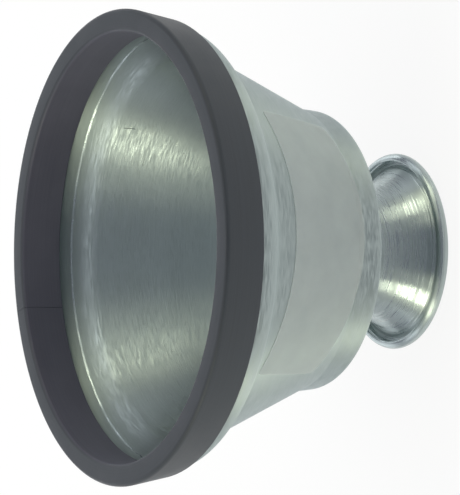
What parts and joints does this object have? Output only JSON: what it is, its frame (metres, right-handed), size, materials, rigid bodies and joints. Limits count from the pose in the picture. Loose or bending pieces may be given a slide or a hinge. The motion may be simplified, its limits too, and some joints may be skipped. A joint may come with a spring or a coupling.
{
  "type": "plunger mute",
  "caption": "Spun aluminium plunger mute for a tenor trombone: a conical bowl with a grey rubber edging, held by a flared hollow knob that a screw fastens to its floor.",
  "frame": {"origin": "middle of the knob's rim, on the plane that the mute rests on", "axes": "+Z along the axis from the knob up out of the bowl's mouth, -Y towards the film on the cone"},
  "size_m": [0.146, 0.146, 0.1018],
  "materials": {
    "spun_aluminium": "bright spun, with fine turned rings",
    "grey_rubber": "satin extruded rubber, dark grey",
    "zinc_steel": "bright zinc plated",
    "soft_rubber": "matt black",
    "clear_film": "clear self-adhesive film, bare"
  },
  "bodies": {
    "root": {"bowl_shell": "spun_aluminium", "rim_edging": "grey_rubber", "knob_horn": "spun_aluminium", "knob_screw": "zinc_steel", "head_washer": "zinc_steel", "seat_washer": "soft_rubber", "nut_washer": "zinc_steel", "spring_washer": "zinc_steel", "knob_nut": "zinc_steel", "name_film": "clear_film"}
  },
  "joints": []
}
